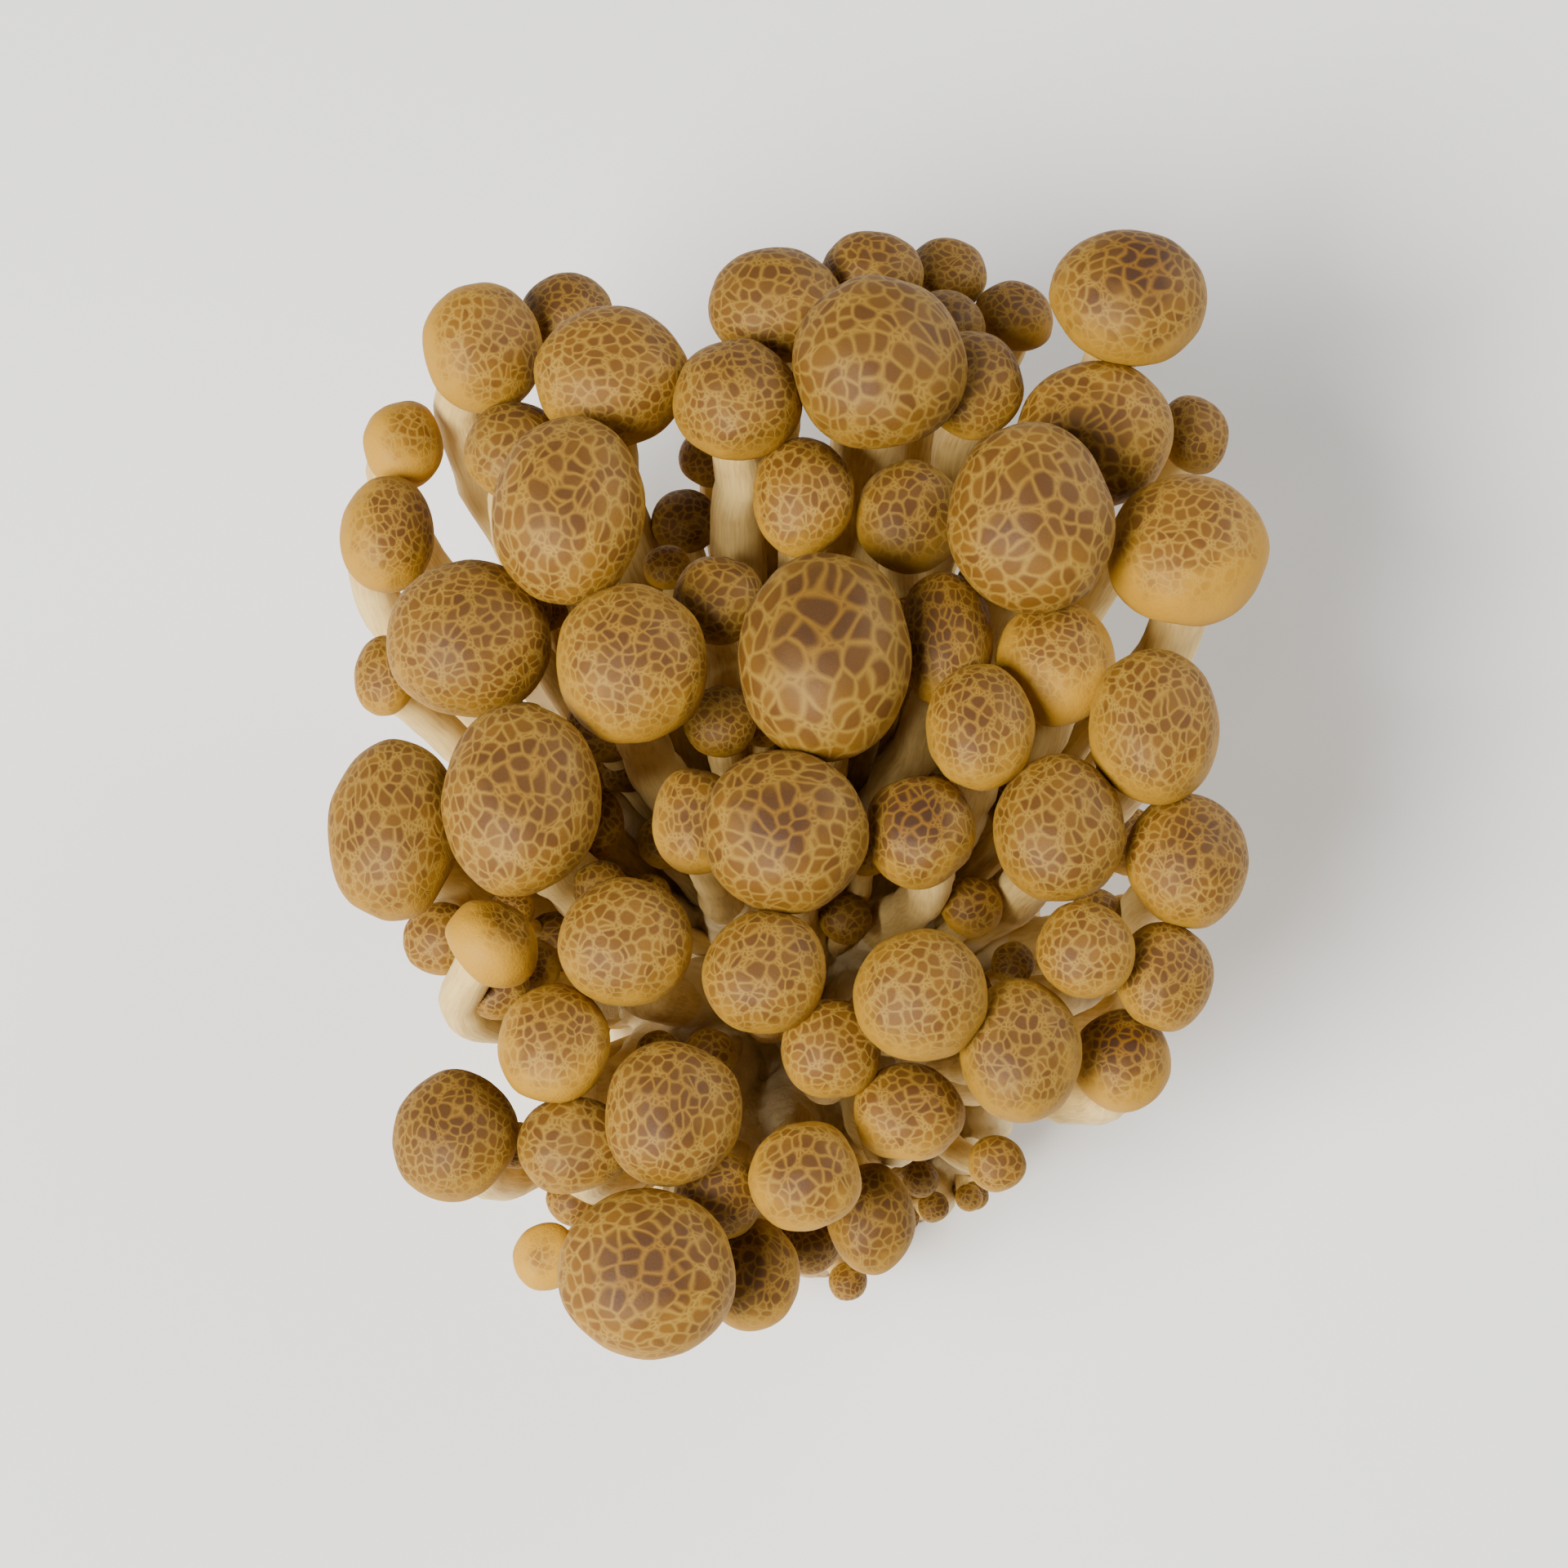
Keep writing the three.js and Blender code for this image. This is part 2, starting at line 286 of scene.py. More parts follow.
def small_mushroom(number, x, y, top, breadth):
    """Stands a small mushroom on the base, leaning the way that its neighbours do."""
    radius = breadth / 2
    axis = Vector((x * 4, y * 4, 1)).normalized()
    centre = Vector((x, y, top)) - axis * DOME * radius
    neck = centre - axis * 0.2 * radius
    foot = Vector((x * 0.5, y * 0.5, 12 * MM))
    handles = (foot.lerp(neck, 0.3) + Vector((x, y, 0)) * 0.12, neck - axis * 8 * MM)
    thickness = (0.42 * radius + 0.6 * MM, 0.42 * radius)
    return Mushroom(number, foot, neck, handles, thickness, centre, axis, (radius, radius))


def crowd(mushrooms):
    """The small mushrooms, and stunted ones wherever a cap has room under the big caps."""
    grown = [
        small_mushroom(FIRST_SMALL + i, *(value * MM for value in row))
        for i, row in enumerate(SMALL_MUSHROOMS)
    ]
    taken = [(m.centre, m.radius) for m in [*mushrooms, *grown]]
    taken += [(p, m.neck_radius) for m in mushrooms for p in m.line(14)]
    rng = random.Random(CROWD_DRAWS)
    wanted = len(grown) + bpy.context.scene.mushroom_cluster.stunted_count
    while len(grown) < wanted:
        turn, out = rng.uniform(0, 2 * math.pi), math.sqrt(rng.random())
        x = CROWD_REACH[0] * MM * out * math.cos(turn)
        y = (CROWD_REACH[1] * out * math.sin(turn) - CROWD_SHIFT) * MM
        top, breadth = (rng.uniform(*ends) * MM for ends in (STUNTED_TOPS, STUNTED_BREADTHS))
        stunted = small_mushroom(FIRST_SMALL + len(grown), x, y, top, breadth)
        need = CLOSE * stunted.radius
        room = [(stunted.centre - p).length - r - need for p, r in taken]
        if min(room) > 0:
            grown.append(stunted)
            taken.append((stunted.centre, stunted.radius))
    return grown


# ------------------------------------------------------------------ mesh helpers


def finish_piece(bm, name, materials, replaced=()):
    """Turns a bmesh into a smooth piece that rides with the cluster."""
    mesh = bpy.data.meshes.new(name)
    bm.to_mesh(mesh)
    bm.free()
    mesh.shade_smooth()
    for material in materials:
        mesh.materials.append(material)
    piece = bpy.data.objects.new(name, mesh)
    bpy.context.scene.collection.objects.link(piece)
    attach(piece, "root")
    if replaced:
        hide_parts(*replaced)
    return piece


def new_bmesh():
    """An empty bmesh whose corners can carry what the materials read."""
    bm = bmesh.new()
    bm.verts.layers.float.new("crown")
    for name in ("net_place", "cap_look", "stem_place"):
        bm.verts.layers.float_vector.new(name)
    return bm


def join_parts(parts):
    """Puts parts that were each built on their own into one bmesh, with every face outwards."""
    joined = new_bmesh()
    for part in parts:
        bmesh.ops.recalc_face_normals(part, faces=part.faces)
        mesh = bpy.data.meshes.new("part")
        part.to_mesh(mesh)
        part.free()
        joined.from_mesh(mesh)
        bpy.data.meshes.remove(mesh)
    return joined


def spin_outline(bm, outline, steps):
    """Turns an outline of (out, up) points once round the upright axis, and returns its corners."""
    old = set(bm.verts)
    corners = [bm.verts.new((out, 0, up)) for out, up in outline]
    edges = [bm.edges.new(pair) for pair in zip(corners, corners[1:])]
    bmesh.ops.spin(
        bm,
        geom=corners + edges,
        cent=(0, 0, 0),
        axis=(0, 0, 1),
        angle=2 * math.pi,
        steps=steps,
        use_merge=True,
    )
    fresh = [v for v in bm.verts if v not in old]
    bmesh.ops.remove_doubles(bm, verts=fresh, dist=1e-6)
    return [v for v in bm.verts if v not in old]


def sweep(bm, stations, sides, spots=None, lengths=None):
    """Draws a round section along a line: a circle, extruded from each station to the next.
    spots is a layer that takes each corner's place round the section and along the line."""
    ring = bmesh.ops.create_circle(bm, segments=sides, radius=1)["verts"]
    if spots:
        for v in ring:
            v[spots] = (v.co.x, v.co.y, lengths[0])
    bmesh.ops.transform(bm, matrix=stations[0], verts=ring)
    swept = list(ring)
    for i in range(1, len(stations)):
        members = set(ring)
        edges = dict.fromkeys(e for v in ring for e in v.link_edges if e.other_vert(v) in members)
        grown = bmesh.ops.extrude_edge_only(bm, edges=list(edges))["geom"]
        ring = [v for v in grown if isinstance(v, bmesh.types.BMVert)]
        bmesh.ops.transform(bm, matrix=stations[i] @ stations[i - 1].inverted(), verts=ring)
        if spots:
            for v in ring:
                v[spots].z = lengths[i]
        swept += ring
    return swept


def station(point, direction, radius):
    """Where a section of unit radius goes: its place, its slant and its size."""
    turn = UP.rotation_difference(direction).to_matrix().to_4x4()
    return Matrix.Translation(point) @ turn @ Matrix.Diagonal((radius, radius, radius, 1))


def drift(point):
    """Three smooth noises as one vector, the same for the same point in every run. Blender's
    own noise_vector takes its seed from the clock."""
    return Vector([noise.noise(point + UP * away) for away in (0.0, 53.3, 117.7)])


def directions(points):
    """The way a line runs at each of its points."""
    ahead = points[1:] + points[-1:]
    behind = points[:1] + points[:-1]
    return [(b - a).normalized() for a, b in zip(behind, ahead)]


# ------------------------------------------------------------------ caps


def cap_outline(rings):
    """A unit cap from the middle of its underside, round the rolled margin, to the crown."""
    outline = [(0.0, -0.12), (0.45, -0.14), (0.72, -0.17)]
    for i in range(LIP_RINGS + 1):
        turn = math.pi * i / LIP_RINGS
        outline.append((1 - CURL * (2 + math.cos(turn)), CURL * (1 - math.sin(turn)) - LIP))
    for i in range(1, SIDE_RINGS):
        turn = math.pi / 2 * i / SIDE_RINGS
        outline.append((1 - CURL * (1 - math.sin(turn)), (CURL - LIP) * math.cos(turn)))
    for i in range(rings):
        turn = math.pi / 2 * i / rings
        outline.append((math.cos(turn), DOME * math.sin(turn) ** 0.93))
    outline.append((0.0, DOME))
    return outline


def fall_from_crown(point):
    """The angle down from the crown of a unit cap to a point of its skin."""
    return math.atan2(math.hypot(point.x, point.y), point.z - SKIN_CENTRE)


def spread_flat(point):
    """Where a point of a unit cap lies when its skin is spread out flat round the crown.
    The skin is spread wider further down, so a net drawn on it is finer there."""
    fall = fall_from_crown(point)
    way = Vector((point.x, point.y, 0)).normalized()
    return way * (0.9 * fall + 0.28 * fall * fall)


def weather(point, seed, dice):
    """Moves a point of a unit cap: a broad lopsidedness, small dents and a dimpled crown."""
    broad = drift(point * 0.9 + seed) * dice["lopsided"]
    dents = noise.noise(point * 2.6 + seed) * 0.02
    rim = max(0.0, 0.35 - point.z) * dice["wave"]
    ripple = rim * math.sin(dice["waves"] * math.atan2(point.y, point.x) + seed.x)
    dimple = dice["dimple"] * math.exp(-((math.hypot(point.x, point.y) / 0.3) ** 2))
    moved = point * (1 + dents) + broad
    moved.z += ripple - dimple
    return moved


# How the skin of the more striking caps differs from the rest: how far down the net runs
# (0 is usual), how dark the crown is, from 0 to 1, the size of the cells (1 is usual),
# and how pale the whole skin is (0 to 1 is usual).
SKINS = {
    6: (0.08, 0.5, 1.0, 0.3),
    7: (-0.16, 0.3, 0.9, 1.2),
    8: (-0.02, 0.35, 0.9, 0.9),
    10: (0.1, 0.4, 1.35, 0.1),
    12: (-0.05, 1.0, 1.1, 0.4),
    13: (-0.4, 0.0, 0.8, 1.7),
    18: (-0.18, 0.4, 0.8, 1.2),
    19: (0.12, 0.6, 1.15, 0.9),
    22: (0.12, 0.55, 1.3, 0.5),
    23: (-0.2, 0.35, 0.85, 1.3),
    26: (-0.1, 0.3, 0.9, 1.2),
    28: (0.14, 0.85, 1.8, 0.1),
    30: (-0.26, 0.3, 0.8, 1.3),
    33: (0.08, 0.65, 1.05, 0.6),
    36: (0.1, 0.85, 1.25, 0.3),
    37: (0.0, 1.0, 1.05, 0.3),
    41: (-0.4, 0.05, 0.8, 1.8),
    48: (-0.16, 1.0, 0.9, 0.8),
    49: (-0.18, 0.5, 0.9, 1.2),
    51: (0.04, 0.7, 0.95, 0.5),
    58: (0.0, 0.85, 1.15, 0.7),
    105: (-0.5, 0.0, 0.8, 2.0),
}


def add_cap(bm, place, number, steps=CAP_STEPS, rings=DOME_RINGS):
    """Spins one cap, weathers it and carries it to its place. Its corners carry where they lie
    in the net of cells, and the skin's look: reach of the net, dark of the crown, own tone."""
    rng = random.Random(number)
    seed = Vector([rng.uniform(-40, 40) for _ in range(3)])
    dice = {
        "lopsided": rng.uniform(0.04, 0.1),
        "wave": rng.uniform(0.02, 0.09),
        "waves": rng.choice((2, 3, 3, 4)),
        "dimple": rng.choice((0, 0, 0, 0.03, 0.05)),
    }
    usual = [rng.uniform(*ends) for ends in ((-0.16, 0.06), (0.15, 0.75), (0.85, 1.1), (0, 1))]
    reach, dark, size, tone = SKINS.get(number, usual)
    radius = place.median_scale
    cell = bpy.context.scene.mushroom_cluster.cell_size * size * math.sqrt(radius / USUAL_RADIUS)
    crown = bm.verts.layers.float.get("crown")
    net = bm.verts.layers.float_vector.get("net_place")
    look = bm.verts.layers.float_vector.get("cap_look")
    corners = spin_outline(bm, cap_outline(rings), steps)
    for v in corners:
        v[crown] = max(0.0, 1 - fall_from_crown(v.co) / (math.pi / 2))
        v[look] = (reach, dark, tone)
        v[net] = spread_flat(v.co) * (radius / cell) + seed
        v.co = weather(v.co, seed, dice)
    bmesh.ops.transform(bm, matrix=place, verts=corners)
    return corners


def grow_caps(name, mushrooms, replaced=(), steps=CAP_STEPS, rings=DOME_RINGS):
    """Caps as one piece."""
    parts = []
    for mushroom in mushrooms:
        parts.append(new_bmesh())
        add_cap(parts[-1], mushroom.cap_place(), mushroom.number, steps, rings)
    bm = join_parts(parts)
    return finish_piece(bm, name, [material("Cap skin")], replaced)


# ------------------------------------------------------------------ stems and gills


def add_gills(bm, mushroom, seed):
    """A pleated ring under the cap, with a blade at every other step."""
    steps = 2 * bpy.context.scene.mushroom_cluster.gill_count
    inner = 0.8 * mushroom.neck_radius / mushroom.radius
    blades = [(inner, -0.27), (inner + 0.1, -0.22), (0.55, -0.23), (0.7, -0.25), (0.83, -0.28)]
    outline = [*blades, (0.83, -0.14), (inner, -0.14), blades[0]]
    corners = spin_outline(bm, outline, steps)
    for v in corners:
        column = round(math.atan2(v.co.y, v.co.x) / (2 * math.pi) * steps)
        if column % 2 and v.co.z < -0.2:
            v.co.z += BLADE_DEPTH
        v.co.z += 0.03 * noise.noise(v.co * 3 + seed)
    bmesh.ops.transform(bm, matrix=mushroom.cap_place(), verts=corners)
    for face in {f for v in corners for f in v.link_faces}:
        face.material_index = 1


def add_stem(bm, points, radii, rng, sides=STEM_SIDES):
    """One stem along a line: round, with flats, flutes and a noted place for its fibres."""
    seed = Vector([rng.uniform(-40, 40) for _ in range(3)])
    steps = [0.0] + [(b - a).length / MM for a, b in zip(points, points[1:])]
    lengths = [sum(steps[: i + 1]) for i in range(len(steps))]
    stations = [station(p, d, r) for p, d, r in zip(points, directions(points), radii)]
    spots = bm.verts.layers.float_vector.get("stem_place")
    corners = sweep(bm, stations, sides, spots, lengths)
    ends = dict.fromkeys(e for v in corners for e in v.link_edges if e.is_boundary)
    bmesh.ops.holes_fill(bm, edges=list(ends), sides=0)
    bm.normal_update()
    girth = radii[0] / MM
    for v in corners:
        across, along = Vector(v[spots][:2]) * girth, v[spots].z
        place = Vector((*across, along))
        v[spots] = place + seed
        flute = noise.noise(Vector((*(across * 0.9), along * 0.05)) + seed)
        dent = noise.noise(Vector((*(across * 0.3), along * 0.2)) - seed)
        v.co += v.normal * (FLUTE * flute + DENT * dent) * radii[0]
        v.co += drift(place.zzz / 9 + seed) * WANDER * radii[0]


def add_stem_and_gills(bm, mushroom):
    """A mushroom's stem, with the gills it spreads into under the cap."""
    rng = random.Random(STEM_DRAWS + mushroom.number)
    line = mushroom.line(STEM_STATIONS)
    root = mushroom.foot - (directions(line)[0] + UP).normalized() * ROOTED
    points = [root, *line, mushroom.neck + mushroom.axis * 0.1 * mushroom.radius]
    swell = rng.uniform(-0.06, 0.12)
    belly = rng.uniform(0.2, 0.6)
    radii = []
    for i in range(len(points)):
        share = i / (len(points) - 1)
        radius = mushroom.foot_radius + (mushroom.neck_radius - mushroom.foot_radius) * share**0.5
        radius *= 1 + swell * math.exp(-(((share - belly) / 0.22) ** 2))
        radii.append(radius * (1 + 0.3 * max(0.0, (share - 0.88) / 0.12) ** 2))
    add_stem(bm, points, radii, rng)
    add_gills(bm, mushroom, Vector((mushroom.number, 0, 0)))


def grow_stems(name, mushrooms):
    """Stems and their gills as one piece."""
    parts = []
    for mushroom in mushrooms:
        parts.append(new_bmesh())
        add_stem_and_gills(parts[-1], mushroom)
    bm = join_parts(parts)
    return finish_piece(bm, name, [material("Stem flesh"), material("Gill flesh")])


# ------------------------------------------------------------------ base


def base_rim(turn, share):
    """The point of the base's rim that lies in a direction, drawn in by a share of the way."""
    low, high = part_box("base")
    middle, half = (low + high) / 2, (high - low) / 2
    x = middle.x + half.x * share * math.cos(turn)
    y = middle.y + half.y * share * math.sin(turn)
    return Vector((x, y, 0))


def add_feet(bm, mushrooms):
    """Carries every stem down into the base, wider as it goes."""
    for mushroom in mushrooms:
        rng = random.Random(FOOT_DRAWS + mushroom.number)
        line = mushroom.line(12)[:4]
        below = Vector((mushroom.foot.x * 0.98, mushroom.foot.y * 0.98, -2 * MM))
        points = [below, (below + line[0]) / 2, *line]
        wide = rng.uniform(0.9, 1.1) * mushroom.foot_radius
        stations = [
            station(p, d, r * wide) for p, d, r in zip(points, directions(points), FOOT_FLARE)
        ]
        sweep(bm, stations, FOOT_SIDES)


def add_skirt(bm):
    """Rings the base with the stumps of stems that never grew."""
    rng = random.Random(SKIRT_DRAWS)
    for i in range(SKIRT_LUMPS):
        turn = 2 * math.pi * (i + rng.uniform(-0.3, 0.3)) / SKIRT_LUMPS
        wide = rng.uniform(2.3, 4.4) * MM
        low = base_rim(turn, rng.uniform(0.84, 0.9))
        high = base_rim(turn, rng.uniform(0.8, 0.95))
        points = [low - UP * 2 * MM, low + UP * 4 * MM, high + UP * rng.uniform(7, 15) * MM]
        points.append(points[-1] + UP * 0.7 * wide)
        radii = (wide, wide * rng.uniform(0.9, 1.1), wide * 0.85, wide * 0.35)
        stations = [station(p, d, r) for p, d, r in zip(points, directions(points), radii)]
        sweep(bm, stations, FOOT_SIDES)


def grow_base(mushrooms):
    """The lump where all the stems run together: the solid base, a foot for every stem and
    a skirt of stumps, melted into one skin, roughened, and cut off flat below."""
    low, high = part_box("base")
    middle = (low + high) / 2
    bm = bmesh.new()
    bm.from_mesh(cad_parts["base"].data)
    bmesh.ops.remove_doubles(bm, verts=bm.verts, dist=MERGE_DISTANCE)
    slim = Matrix.Diagonal((*SLIMMER, 1))
    about_middle = Matrix.Translation(middle) @ slim @ Matrix.Translation(-middle)
    bmesh.ops.transform(bm, matrix=about_middle, verts=bm.verts)
    add_feet(bm, mushrooms)
    add_skirt(bm)
    bmesh.ops.holes_fill(bm, edges=[e for e in bm.edges if e.is_boundary], sides=0)
    bmesh.ops.recalc_face_normals(bm, faces=bm.faces)
    lump = bpy.data.meshes.new("lump")
    bm.to_mesh(lump)
    bm.free()
    melted = melt(lump, bpy.context.scene.mushroom_cluster.felt_voxel)
    bm = bmesh.new()
    bm.from_mesh(melted)
    bpy.data.meshes.remove(melted)
    for _ in range(SMOOTHINGS):
        bmesh.ops.smooth_vert(
            bm, verts=bm.verts, factor=0.5, use_axis_x=True, use_axis_y=True, use_axis_z=True
        )
    bm.normal_update()
    for v in bm.verts:
        lumps = noise.fractal(v.co / LUMP, 0.9, 2.1, 4) * LUMP_DEPTH
        streaks = noise.noise(Vector((v.co.x, v.co.y, v.co.z / 4)) / STREAK) * STREAK_DEPTH
        v.co += v.normal * (lumps + streaks)
    bmesh.ops.bisect_plane(
        bm,
        geom=bm.verts[:] + bm.edges[:] + bm.faces[:],
        plane_co=(0, 0, 0),
        plane_no=(0, 0, -1),
        clear_outer=True,
    )
    bmesh.ops.holes_fill(bm, edges=[e for e in bm.edges if e.is_boundary], sides=0)
    bmesh.ops.recalc_face_normals(bm, faces=bm.faces)
    return finish_piece(bm, "base_lump", [material("Base felt")], ("base",))


def add_pin(bm, number, base, rng):
    """A baby mushroom, rooted in the base's skin: a thin stalk under a bead of a cap."""
    turn = rng.uniform(0, 2 * math.pi)
    height = UP * rng.uniform(5, 15) * MM
    out = (base_rim(turn, 1) - base_rim(turn, 0)).normalized()
    found, skin, normal, _ = base.ray_cast(base_rim(turn, 1.5) + height, -out)
    if not found:
        raise RuntimeError("A pin has no base to grow on")
    lean = (normal * rng.uniform(0.4, 1.0) + UP * rng.uniform(0.6, 1.3)).normalized()
    radius = rng.uniform(0.8, 2.0) * MM
    foot = skin + normal * 0.3 * radius
    tip = foot + lean * (rng.uniform(1.8, 4.0) * radius + 1 * MM) + UP * 0.4 * radius
    points = [skin - normal * 1.5 * MM, foot, foot.lerp(tip, 0.5) + normal * 0.2 * radius, tip]
    wide = radius * rng.uniform(0.5, 0.7)
    add_stem(bm, points, (wide * 1.5, wide * 1.25, wide, wide * 0.95), rng, sides=10)
    turned = UP.rotation_difference((lean + UP).normalized()).to_matrix().to_4x4()
    size = Matrix.Diagonal((radius, radius, radius * rng.uniform(1.0, 1.3), 1))
    head = add_cap(bm, Matrix.Translation(tip) @ turned @ size, number, steps=20, rings=6)
    for face in {f for v in head for f in v.link_faces}:
        face.material_index = 1


def grow_pins(base):
    """Baby mushrooms on the shoulder and sides of the base."""
    rng = random.Random(PIN_DRAWS)
    parts = []
    for i in range(bpy.context.scene.mushroom_cluster.pin_count):
        parts.append(new_bmesh())
        add_pin(parts[-1], FIRST_PIN + i, base, rng)
    bm = join_parts(parts)
    return finish_piece(bm, "pins", [material("Stem flesh"), material("Cap skin")])


def melt(mesh, voxel):
    """Remeshes overlapping lumps into one skin."""
    lump = bpy.data.objects.new("lump", mesh)
    bpy.context.scene.collection.objects.link(lump)
    remesh = lump.modifiers.new("Melt", "REMESH")
    remesh.mode = "VOXEL"
    remesh.voxel_size = voxel
    ready = lump.evaluated_get(bpy.context.evaluated_depsgraph_get())
    melted = bpy.data.meshes.new_from_object(ready)
    bpy.data.objects.remove(lump)
    bpy.data.meshes.remove(mesh)
    return melted


# ------------------------------------------------------------------ materials


def add_node(tree, kind, feeds=None, **settings):
    """Adds one node. Its feeds are values, or the sockets that link in."""
    node = tree.nodes.new(kind)
    for name, value in settings.items():
        setattr(node, name, value)
    for key, value in (feeds or {}).items():
        if isinstance(value, bpy.types.NodeSocket):
            tree.links.new(value, node.inputs[key])
        else:
            node.inputs[key].default_value = value
    return node


def attribute(tree, name, output):
    """What the corners carry under a name."""
    return add_node(tree, "ShaderNodeAttribute", attribute_name=name).outputs[output]


def cloud(tree, place, scale, detail, output="Fac", roughness=0.5):
    """Soft noise."""
    feeds = {"Vector": place, "Scale": scale, "Detail": detail, "Roughness": roughness}
    return add_node(tree, "ShaderNodeTexNoise", feeds).outputs[output]


def cells_at(tree, place, scale, **settings):
    """A flat pattern of cells."""
    settings["voronoi_dimensions"] = "2D"
    feeds = {"Vector": place, "Scale": scale}
    return add_node(tree, "ShaderNodeTexVoronoi", feeds, **settings).outputs


def maths(tree, operation, *values):
    """One step of arithmetic."""
    return add_node(tree, "ShaderNodeMath", dict(enumerate(values)), operation=operation).outputs[0]


def remap(tree, value, span, onto=(0.0, 1.0), **settings):
    """Carries the values of a span onto another."""
    feeds = dict(zip(("Value", "From Min", "From Max", "To Min", "To Max"), (value, *span, *onto)))
    return add_node(tree, "ShaderNodeMapRange", feeds, **settings).outputs["Result"]


def ease(tree, value, span, onto=(0.0, 1.0)):
    """Carries the values of a span onto another, with no sharp start or end."""
    return remap(tree, value, span, onto, interpolation_type="SMOOTHSTEP")


def blend(tree, share, first, second):
    """Goes from one colour to another. A colour of three channels is made opaque."""
    ends = [c if isinstance(c, bpy.types.NodeSocket) else opaque(c) for c in (first, second)]
    feeds = {0: share, 6: ends[0], 7: ends[1]}
    return add_node(tree, "ShaderNodeMix", feeds, data_type="RGBA").outputs[2]


def raise_grain(tree, height, strength, distance):
    """Relief too fine for the mesh."""
    feeds = {"Height": height, "Strength": strength, "Distance": distance}
    return add_node(tree, "ShaderNodeBump", feeds).outputs["Normal"]


def finish_surface(tree, colour, roughness, **more):
    """Ends a material with its colour, roughness and any other inputs, named with underscores."""
    feeds = {"Base Color": colour, "Roughness": roughness, "IOR": 1.4}
    feeds.update({name.replace("_", " "): value for name, value in more.items()})
    shader = add_node(tree, "ShaderNodeBsdfPrincipled", feeds)
    add_node(tree, "ShaderNodeOutputMaterial", {"Surface": shader.outputs[0]})


def opaque(colour):
    """A colour with the fourth channel that sockets ask for."""
    return (*colour, 1)


def material(name):
    """One of this cluster's finishes, made the first time that it is asked for."""
    made = bpy.data.materials.get(name)
    if made is None:
        made = bpy.data.materials.new(name)
        made.use_nodes = True
        made.node_tree.nodes.clear()
        FINISHES[name](made.node_tree, bpy.context.scene.mushroom_cluster)
    return made


def cap_skin(tree, settings):
    """Skin of a young brown beech mushroom: dry and satin, with rounded brown cells in a net of
    paler lines, darkest at the crown and fading to plain ochre at the margin. One unit of
    net_place is one cell, 1 to 3 mm across."""
    place = attribute(tree, "net_place", "Vector")
    crown = attribute(tree, "crown", "Fac")
    look = attribute(tree, "cap_look", "Vector")
    reach, dark, tone = add_node(tree, "ShaderNodeSeparateXYZ", {0: look}).outputs
    wander = cloud(tree, place, 0.5, 1.5, "Color")
    shift = add_node(
        tree, "ShaderNodeVectorMath", {0: wander, 1: (0.5, 0.5, 0.5)}, operation="SUBTRACT"
    ).outputs[0]
    bent = add_node(
        tree,
        "ShaderNodeVectorMath",
        {0: shift, 1: (1.4, 1.4, 1.4), 2: place},
        operation="MULTIPLY_ADD",
    ).outputs[0]
    patch = cloud(tree, place, 0.45, 2.0)

    # Big cells: polygons whose corners are rounded off, so the net is wide where three meet.
    gap = cells_at(tree, bent, 1.0, feature="DISTANCE_TO_EDGE")["Distance"]
    seed = cells_at(tree, bent, 1.0)
    room = remap(tree, seed["Distance"], (0.3, 0.72), (0.26, -0.06), clamp=False)
    blob = maths(tree, "SMOOTH_MIN", gap, room, 0.14)
    inside = ease(tree, blob, (-0.03, 0.19))

    # Little cells crowd into those wide places.
    corner = ease(tree, seed["Distance"], (0.52, 0.7), (0.0, 0.7))
    small = cells_at(tree, bent, 2.6, feature="DISTANCE_TO_EDGE")["Distance"]
    crowded = maths(tree, "MULTIPLY", ease(tree, small, (0.04, 0.34)), corner)
    cells = maths(tree, "MAXIMUM", inside, crowded)

    # The net fades out below a ragged line round the cap.
    height = maths(tree, "MULTIPLY_ADD", patch, 0.5, crown)
    strength = ease(tree, maths(tree, "ADD", height, reach), (0.3, 0.75))
    depth = maths(tree, "MULTIPLY", ease(tree, height, (0.72, 1.12)), dark)

    own = add_node(tree, "ShaderNodeSeparateColor", {0: seed["Color"]}).outputs[0]
    warm = blend(tree, own, settings.cell_colour, settings.warm_cell_colour)
    brown = blend(tree, depth, warm, settings.crown_colour)
    ground = blend(tree, depth, settings.net_colour, settings.warm_cell_colour)
    netted = blend(tree, cells, ground, brown)
    faded = blend(tree, strength, settings.margin_colour, netted)
    this_cap = remap(tree, tone, (0.0, 1.0), (0.88, 1.12), clamp=False)
    toned = add_node(
        tree, "ShaderNodeVectorMath", {0: faded, "Scale": this_cap}, operation="SCALE"
    ).outputs[0]

    # Velvet: grains of about 0.2 mm, with the net a hair lower than the cells.
    coords = add_node(tree, "ShaderNodeTexCoord").outputs["Object"]
    velvet = cloud(tree, coords, 1 / (0.2 * MM), 2.0)
    relief = maths(tree, "MULTIPLY_ADD", cells, 0.5, velvet)
    finish_surface(
        tree,
        toned,
        remap(tree, velvet, (0.0, 1.0), (0.52, 0.74)),
        Normal=raise_grain(tree, relief, 0.5, 0.07 * MM),
        Specular_IOR_Level=0.35,
        Subsurface_Weight=0.1,
        Subsurface_Radius=(1.0, 0.5, 0.25),
        Subsurface_Scale=0.6 * MM,
    )


